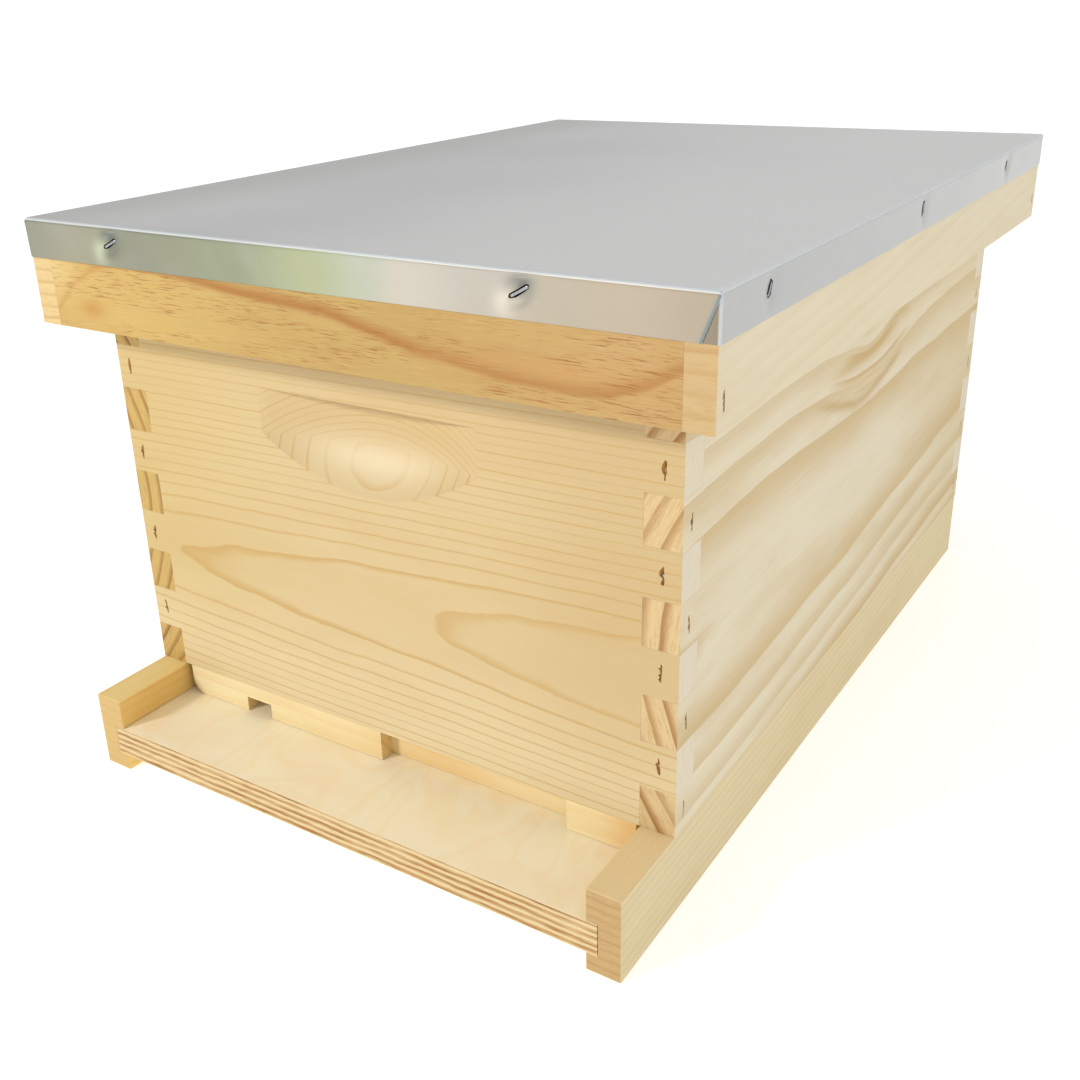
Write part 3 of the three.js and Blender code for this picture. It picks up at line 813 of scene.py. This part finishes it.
dressed("bottom_rail_left", "left_rail", PINE_RAIL_LEFT, EASE_RAIL)
dressed("bottom_rail_right", "right_rail", PINE_RAIL_RIGHT, EASE_RAIL)
dressed("bottom_back_rail", "back_rail", PINE_STICK_X)
dressed("floor_panel", "plywood_floor", BIRCH_FLOOR, EASE_FLOOR)
dressed("entrance_reducer", "reducer_stick", PINE_REDUCER)


# -------- the lid's staples

CROWN_WIDE = 1.3 * MM
CROWN_THICK = 0.8 * MM
CROWN_DEEP = 0.9 * MM  # how far the crown has been driven below the sheet's face
CROWN_ROUND = 0.8 * MM  # radius of the bends at its ends
LEG = 3 * MM
SIDES = 8  # of the wire
SHORT = 8 * MM  # a shorter staple's slot is torn wider
SLOT_IN_WOOD = 5.5 * MM
SLOT_IN_SHEET = 2.6 * MM
BOWL_LONG, BOWL_TALL, BOWL_DEEP = 14 * MM, 8.5 * MM, 2.9 * MM
BOWL_FLOOR = 0.35  # the size of the bowl's floor, as a share of its mouth's
SKIRT_MIDDLE = SHEET_LOW.z + 11.5 * MM
STAPLES = []


class Staple:
    """A driven staple: where its crown is on a skirt, and how the crown lies."""

    def __init__(self, rim, at, inward, tilt, long):
        self.rim = rim
        self.at = at
        self.long = long
        self.inward = inward
        level = inward.cross(UP)
        self.along = (level * cos(tilt) + UP * sin(tilt)).normalized()
        self.across = self.along.cross(inward)

    def spot(self, u, v, deep):
        """A point along the crown, across it and into the wood."""
        return self.at + self.along * u + self.across * v + self.inward * deep


def set_staples(side, face, inward, *rows):
    """Staples in a skirt: each one's share of the skirt's length, tilt in degrees and length in mm."""
    for share, tilt, long in rows:
        if inward.y:
            at = Vector((SHEET_LOW.x + share * WIDE, face, SKIRT_MIDDLE))
        else:
            at = Vector((face, SHEET_LOW.y + share * LONG, SKIRT_MIDDLE))
        STAPLES.append(Staple(f"cover_{side}_rim", at, inward, radians(tilt), long * MM))


set_staples("front", SHEET_LOW.y, Vector((0, 1, 0)), (0.162, 25, 9.5), (0.778, 29, 10.0))
set_staples("back", SHEET_HIGH.y, Vector((0, -1, 0)), (0.21, -28, 10), (0.81, 40, 9))
set_staples("right", SHEET_HIGH.x, Vector((-1, 0, 0)), (0.09, 62, 6.2), (0.475, 80, 6.6), (0.813, 64, 5.0))
set_staples("left", SHEET_LOW.x, Vector((1, 0, 0)), (0.12, 70, 7), (0.5, 58, 9), (0.87, 76, 8))


def dent_cutter(shape, staple):
    """Wood crushed under a staple, a shallow bowl that leaves room for the sheet's dent."""
    turns = [tau * k / 20 for k in range(20)]
    ring = [(cos(turn) * BOWL_LONG, sin(turn) * BOWL_TALL) for turn in turns]
    add_prism(shape, ring, lambda u, v: staple.spot(u, v, 0),
              lambda u, v: staple.spot(u * BOWL_FLOOR, v * BOWL_FLOOR, BOWL_DEEP))


def slot_cutter(shape, staple, deep):
    """The torn slot round a staple's crown, a little wider than the wire on its lower side."""
    half = staple.long / 2 + 0.5 * MM
    tear = 1.6 if staple.long < SHORT else 1
    outline = [(-half, -0.7 * MM), (-half * 0.5, -1.5 * MM), (half * 0.4, -1.2 * MM), (half, -0.8 * MM),
               (half + 0.5 * MM, 0.4 * MM), (half * 0.9, 1.4 * MM), (-half * 0.9, 1.2 * MM),
               (-half - 0.4 * MM, 0.1 * MM)]
    add_prism(shape, outline, lambda u, v: staple.spot(u, v * tear, -2 * MM),
              lambda u, v: staple.spot(u, v * tear, deep))


def staple_wire(shape, staple):
    """A flattened crown whose ends bend down into the wood."""
    path = [(-staple.long / 2, LEG)]
    for k in range(5):
        turn = pi / 2 * k / 4
        path.append((-staple.long / 2 + CROWN_ROUND * (1 - cos(turn)),
                     CROWN_ROUND * (1 - sin(turn)) + CROWN_THICK / 2))
    path += [(-u, d) for u, d in reversed(path)]
    rings = []
    for k, (u, d) in enumerate(path):
        before = path[max(k - 1, 0)]
        after = path[min(k + 1, len(path) - 1)]
        run = Vector((after[0] - before[0], after[1] - before[1])).normalized()
        outward = staple.along * run.y - staple.inward * run.x
        centre = staple.spot(u, 0, d + CROWN_DEEP)
        ring = []
        for m in range(SIDES):
            angle = tau * (m + 0.5) / SIDES
            ring.append(shape.verts.new(centre + staple.across * cos(angle) * CROWN_WIDE / 2
                                        + outward * sin(angle) * CROWN_THICK / 2))
        rings.append(ring)
    faces = [shape.faces.new(rings[0]), shape.faces.new(rings[-1][::-1])]
    for low, high in zip(rings, rings[1:]):
        for m in range(SIDES):
            n = (m + 1) % SIDES
            faces.append(shape.faces.new((low[m], low[n], high[n], high[m])))
    bmesh.ops.recalc_face_normals(shape, faces=faces)


def wood_bites(rim=None):
    """What the staples leave in a rim or the top board: crushed bowls, then deep slots, both lined with dark
    wood as painted shade.
    """
    bowls, slots = bmesh.new(), bmesh.new()
    for staple in STAPLES:
        if rim in (None, staple.rim):
            dent_cutter(bowls, staple)
            slot_cutter(slots, staple, SLOT_IN_WOOD)
    return (bowls, TORN_SHADED), (slots, TORN_SHADED)


RIM_NAIL_UP = 13.5 * MM
RIM_NAIL_IN = 7 * MM
for side, finish, sign in (("right", PINE_RIM_RIGHT, 1), ("left", PINE_RIM_OTHER, -1)):
    low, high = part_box(f"cover_{side}_rim")
    outer = high.x if sign > 0 else low.x
    spots = spots_at((outer,), (low.y + RIM_NAIL_IN, high.y - RIM_NAIL_IN), (low.z + RIM_NAIL_UP,))
    nailed(f"cover_{side}_rim", f"lid_{side}_rim", finish, spots, Vector((-sign, 0, 0)), 20 + sign,
           wood_bites(f"cover_{side}_rim"), TORN_PALE, RIM_SLIT_DEEP)
dressed("cover_front_rim", "lid_front_rim", PINE_RIM_FRONT, EASE_JOINT, wood_bites("cover_front_rim"), GLUED)
dressed("cover_back_rim", "lid_back_rim", PINE_RIM_BACK, EASE_JOINT, wood_bites("cover_back_rim"), GLUED)
low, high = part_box("cover_top_board")
BIRCH_LID = plywood("birch_plywood_lid", 7, low.z, high.z)
dressed("cover_top_board", "lid_top_board", BIRCH_LID, bites=wood_bites())

for side, finish in (("left", PINE_STICK_Y), ("right", PINE_STICK_Y),
                     ("front", PINE_STICK_X), ("back", PINE_STICK_X)):
    dressed(f"inner_cover_{side}_rim", f"crown_{side}_rim", finish)
low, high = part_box("inner_cover_panel")
BIRCH_INNER = plywood("birch_plywood_inner", 5, low.z, high.z)
dressed("inner_cover_panel", "crown_panel", BIRCH_INNER, EASE_PANEL)


# -------- the lid's metal sheet

SHEET_THICK = 0.35 * MM
BEND = 1.8 * MM
BEND_STEPS = 4
QUARTER = [radians(90 * k / BEND_STEPS) for k in range(BEND_STEPS + 1)]
FLAP_CUT = 7.6 * MM
FLAP_CUT_LEFT = 1 * MM
TAB_LONG = 18 * MM
TAB_ROUND = 1.5 * MM
TAB_STEPS = 6
TAB_BEHIND = SHEET_THICK + 0.3 * MM
SKIRT_TOP = SHEET_HIGH.z - BEND
SKIRT_TALL = SKIRT_TOP - SHEET_LOW.z
SKIRT_ROWS = 15
DENT = 1.5 * MM
DENT_LONG = 8.5 * MM
DENT_TALL = 5 * MM
SKIRT_WAVE = 0.13 * MM
TOP_SAG = 0.2 * MM
TOP_STIFF = 0.08  # the share of its width over which the top starts to sag
COARSE = 9 * MM
FINE = 1.6 * MM
TOP_NEAR = 14 * MM
SIDE_NEAR = 12 * MM


def graded(start, end, spots, near):
    """Places from start to end, close together near some spots."""
    places = [start]
    while places[-1] < end:
        close = any(abs(places[-1] - spot) < near for spot in spots)
        places.append(places[-1] + (FINE if close else COARSE))
    scale = (end - start) / (places[-1] - start)
    return [start + (place - start) * scale for place in places]


def pressed_in(point, inward):
    """How far the skirt stands in from flat: a dent at each staple, and slow waves along it."""
    depth = 0
    for staple in STAPLES:
        if staple.inward.dot(inward) > 0.9:
            offset = point - staple.at
            offset -= inward * offset.dot(inward)
            u = offset.dot(staple.along) / DENT_LONG
            v = offset.dot(staple.across) / DENT_TALL
            depth += DENT * exp(-u * u - v * v)
    run = point.dot(inward.cross(UP))
    drop = (SKIRT_TOP - point.z) / SKIRT_TALL
    wave = 0.5 + 0.3 * sin(run * 46 + 1.3) + 0.2 * sin(run * 113 + 0.4)
    return depth + drop * wave * SKIRT_WAVE


def flap_point(x, b, y, z, end):
    """A point of the front or back flap, whose ends are cut on the slant."""
    inward = Vector((0, -end, 0))
    share = (x + BEND * sin(b) - SHEET_LOW.x) / WIDE
    fall = (SKIRT_TOP - z) / SKIRT_TALL
    right = FLAP_CUT * fall
    left = FLAP_CUT_LEFT * fall if end < 0 else right
    point = Vector((SHEET_LOW.x + left + share * (WIDE - left - right), y, z))
    return point + inward * pressed_in(point, inward)


def top_point(x, b, y, turn):
    """A point of the top or of its rounded edges; the top sags a little."""
    lift = cos(b) * cos(turn)
    point = Vector((x + BEND * sin(b), y + BEND * sin(turn), SKIRT_TOP + BEND * lift))
    u = (point.x - SHEET_LOW.x) / WIDE
    v = (point.y - SHEET_LOW.y) / LONG
    slack = min(min(u, v, 1 - u, 1 - v) / TOP_STIFF, 1)
    ripple = sin(5.1 * u + 3.3 * v + 0.7) * sin(2.2 * u - 6.1 * v + 1.9)
    point.z -= TOP_SAG * slack * (1 + ripple)
    return point


def bent(low, high, spots, near):
    """Places across the top, and how far the sheet has turned there: it bends down at both edges."""
    places = [(low + BEND, -turn) for turn in QUARTER[:0:-1]]
    places += [(place, 0) for place in graded(low + BEND, high - BEND, spots, near)]
    return places + [(high - BEND, turn) for turn in QUARTER[1:]]


def skin_top(shape):
    """The top with its rounded edges, and the front and back flaps."""
    spots = [staple.at.x for staple in STAPLES if abs(staple.inward.y) > 0.5]
    across = bent(SHEET_LOW.x, SHEET_HIGH.x, spots, TOP_NEAR)
    levels = [SHEET_LOW.z + SKIRT_TALL * k / SKIRT_ROWS for k in range(SKIRT_ROWS)]
    grid = [[flap_point(x, b, SHEET_LOW.y, z, -1) for x, b in across] for z in levels]
    for y, turn in bent(SHEET_LOW.y, SHEET_HIGH.y, (), 0):
        grid.append([top_point(x, b, y, turn) for x, b in across])
    grid += [[flap_point(x, b, SHEET_HIGH.y, z, 1) for x, b in across] for z in levels[::-1]]
    grid = [[shape.verts.new(point) for point in line] for line in grid]
    for near, far in zip(grid, grid[1:]):
        for k in range(len(near) - 1):
            shape.faces.new((near[k], near[k + 1], far[k + 1], far[k]))


def skin_side(shape, sign):
    """A side skirt whose two ends turn the corner and lie behind the front and back flaps."""
    outer = SHEET_HIGH.x if sign > 0 else SHEET_LOW.x
    inward = Vector((-sign, 0, 0))
    spots = [staple.at.y for staple in STAPLES if staple.inward.dot(inward) > 0.9]
    ends = []
    for end, edge in ((-1, SHEET_LOW.y), (1, SHEET_HIGH.y)):
        behind = edge - end * TAB_BEHIND
        reaches = [TAB_LONG * (1 - k / TAB_STEPS) + TAB_ROUND * k / TAB_STEPS for k in range(TAB_STEPS)]
        part = [(outer - sign * reach, behind, False) for reach in reaches]
        for angle in QUARTER:
            part.append((outer - sign * TAB_ROUND * (1 - sin(angle)),
                         behind - end * TAB_ROUND * (1 - cos(angle)), angle > 0))
        ends.append(part)
    low_y, high_y = ends[0][-1][1], ends[1][-1][1]
    middle = [(outer, y, True) for y in graded(low_y, high_y, spots, SIDE_NEAR)[1:-1]]
    line = ends[0] + middle + ends[1][::-1]
    grid = []
    for k in range(SKIRT_ROWS + 1):
        row = []
        for x, y, skirt in line:
            point = Vector((x, y, SHEET_LOW.z + SKIRT_TALL * k / SKIRT_ROWS))
            if skirt and low_y < y < high_y:
                point += inward * pressed_in(point, inward)
            row.append(shape.verts.new(point))
        grid.append(row)
    for low_row, high_row in zip(grid, grid[1:]):
        for k in range(len(line) - 1):
            corners = (low_row[k], low_row[k + 1], high_row[k + 1], high_row[k])
            face = shape.faces.new(corners if sign > 0 else corners[::-1])
            # The tab faces take the second, darker material: painted shade behind the flaps.
            face.material_index = 0 if line[k][2] or line[k + 1][2] else 1


front_spots = [staple.at for staple in STAPLES if staple.rim == "cover_front_rim"]
ZINC = zinc_sheet("zinc_sheet", front_spots, cut=FLAP_CUT / MM)
# The tabs' copy of the sheet is darker: painted shade.
ZINC_TAB_SHADED = zinc_sheet("zinc_sheet_tab_shaded", shade=0.5)
skin = bmesh.new()
skin_top(skin)
skin_side(skin, 1)
skin_side(skin, -1)
lid_sheet = object_from("lid_metal_sheet", skin, (ZINC, ZINC_TAB_SHADED), body_of("cover_metal_sheet"))
thick = lid_sheet.modifiers.new("sheet thickness", "SOLIDIFY")
thick.thickness = SHEET_THICK
thick.offset = -1
holes = bmesh.new()
wires = bmesh.new()
for staple in STAPLES:
    slot_cutter(holes, staple, SLOT_IN_SHEET)
    staple_wire(wires, staple)
settle(lid_sheet, holes)
smooth(lid_sheet.data)
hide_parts("cover_metal_sheet")
shade(object_from("lid_staples", wires, STEEL, body_of("cover_metal_sheet")))


# -------- comb frames

CELL = 5.4 * MM  # across the flats of one hexagon
PRESS = 0.8 * MM
SHEET_WAX = 1 * MM


def comb_sheet(name, node):
    """A sheet pressed into the bottoms of cells: points in a triangular pattern stand in, level and out."""
    low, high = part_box(node)
    middle = (low.x + high.x) / 2
    columns = int((high.y - low.y) / (CELL / 2))
    rows = int((high.z - low.z) / (CELL / sqrt(3)))
    step_y = (high.y - low.y) / columns
    step_z = (high.z - low.z) / rows
    shape = bmesh.new()
    skins = []
    for half in (-1, 1):
        grid = []
        for i in range(columns + 1):
            line = []
            for j in range(rows + 1):
                shifted = j + (0.5 if i % 2 and 0 < j < rows else 0)
                level = (j + 2 * (i % 2)) % 3 - 1
                rim = i in (0, columns) or j in (0, rows)
                x = middle + half * SHEET_WAX / 2 + (0 if rim else level * PRESS)
                line.append(shape.verts.new((x, low.y + i * step_y, low.z + min(shifted, rows) * step_z)))
            grid.append(line)
        skins.append(grid)
        for i in range(columns):
            for j in range(rows):
                a, b, c, d = grid[i][j], grid[i + 1][j], grid[i + 1][j + 1], grid[i][j + 1]
                cut = ((a, b, c), (a, c, d)) if i % 2 else ((a, b, d), (b, c, d))
                for three in cut:
                    shape.faces.new(three if half > 0 else three[::-1])
    back, front = skins
    border = [(i, 0) for i in range(columns)] + [(columns, j) for j in range(rows)]
    border += [(i, rows) for i in range(columns, 0, -1)] + [(0, j) for j in range(rows, 0, -1)]
    for (i, j), (m, n) in zip(border, border[1:] + border[:1]):
        shape.faces.new((back[i][j], back[m][n], front[m][n], front[i][j]))
    bmesh.ops.recalc_face_normals(shape, faces=shape.faces)
    piece = object_from(name, shape, WAX, body_of(node))
    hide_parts(node)


for number in range(1, 9):
    comb_sheet(f"comb_foundation_{number}", f"frame_{number}_foundation")
    for part, finish in (("top_bar", PINE_STICK_Y), ("bottom_bar", PINE_STICK_Y),
                         ("front_end_bar", PINE_STICK_Z), ("back_end_bar", PINE_STICK_Z)):
        dressed(f"frame_{number}_{part}", f"comb_{part}_{number}", finish, EASE_BAR)


# -------- studio

WHITE = (1.0, 1.0, 1.0, 1.0)
HEART = Vector((0.0, 0.0, 0.16))  # the lamps point here
# Name, place, width, height, watts and colour.
LAMPS = (("key_front_left", (-1.25, -2.5, 1.64), 0.42, 0.36, 36.5, (1, 0.99, 0.97)),
         ("fill_right", (2.7, -0.9, 1.5), 3.4, 2.6, 15.5, (1, 1, 1)),
         ("soft_top", (0.2, 0.3, 2.8), 2.6, 2.6, 20, (1, 1, 1)))
for name, at, width, height, watts, colour in LAMPS:
    data = bpy.data.lights.new(name, "AREA")
    data.shape = "RECTANGLE"
    data.size = width
    data.size_y = height
    data.energy = watts
    data.color = colour
    lamp = add_object(name, data)
    lamp.location = at
    lamp.rotation_euler = (HEART - Vector(at)).to_track_quat("-Z", "Y").to_euler()

SKY_LOW = 0.555  # the sky's brightness low down
SKY_HIGH = 0.25  # and overhead
SKY_FADE = (0.56, 0.78)  # heights on the sky, whose top is 1
HAZE_FADE = (0.022, 0.035)
HAZE = 1.02  # and at the horizon, where it meets the paper, and wherever the camera sees it
world = bpy.data.worlds.new("white_studio")
scene.world = world
sky = Graph(world, "Background")
rise = sky.value(sky.node("SeparateXYZ", sky.value(sky.node("TexCoord"), "Generated")), 2)
haze = sky.ease(rise, *HAZE_FADE, HAZE, 0)
glow = sky.math("MAXIMUM", sky.ease(rise, *SKY_FADE, SKY_LOW, SKY_HIGH), haze)
# The paper goes on up behind the floor: what is seen past its edge is white, and lights nothing.
behind = sky.value(sky.node("LightPath"), "Is Camera Ray") * HAZE
sky.surface(Color=WHITE, Strength=sky.math("MAXIMUM", glow, behind))

FLOOR_REACH = 200.0
PAPER_FADE = (1000, 3000)  # millimetres from the hive between which the paper's glow grows
PAPER_GLOW = (0.42, 0.72)
floor_shape = bmesh.new()
bmesh.ops.create_grid(floor_shape, x_segments=8, y_segments=8, size=FLOOR_REACH)
paper = Material("studio_paper")
px, py = paper.xyz["x"], paper.xyz["y"]
tooth = paper.noise(paper.place(px, py, 0), 3, scale=0.4)
reach = paper.math("SQRT", px * px + py * py)
paper.surface(Base_Color=paper.mix(tooth, (247, 247, 247), (249.3, 249.3, 249.3)), Roughness=0.9,
              Specular_IOR_Level=0.1, Emission_Color=WHITE,
              Emission_Strength=paper.ease(reach, *PAPER_FADE, *PAPER_GLOW))
studio_floor = add_object("studio_floor", mesh_from("studio_floor", floor_shape, paper.material))

CAMERA_AT = Vector((0.38214, -0.67930, 0.42641))
CAMERA_AIM = Vector((-0.51335, 0.76560, -0.38771))
CAMERA_ROLL = radians(-1.8)
camera_data = bpy.data.cameras.new("photo_view")
camera_data.sensor_width = 36
camera_data.lens = 40.958
camera_data.shift_x = 0.02885
camera_data.shift_y = -0.02621
camera_data.clip_start = 0.02
camera = add_object("photo_view", camera_data)
turn = CAMERA_AIM.to_track_quat("-Z", "Y").to_matrix() @ Matrix.Rotation(CAMERA_ROLL, 3, "Z")
camera.matrix_world = Matrix.Translation(CAMERA_AT) @ turn.to_4x4()
scene.camera = camera
scene.view_settings.view_transform = "Standard"
scene.view_settings.look = "None"

bpy.context.view_layer.update()
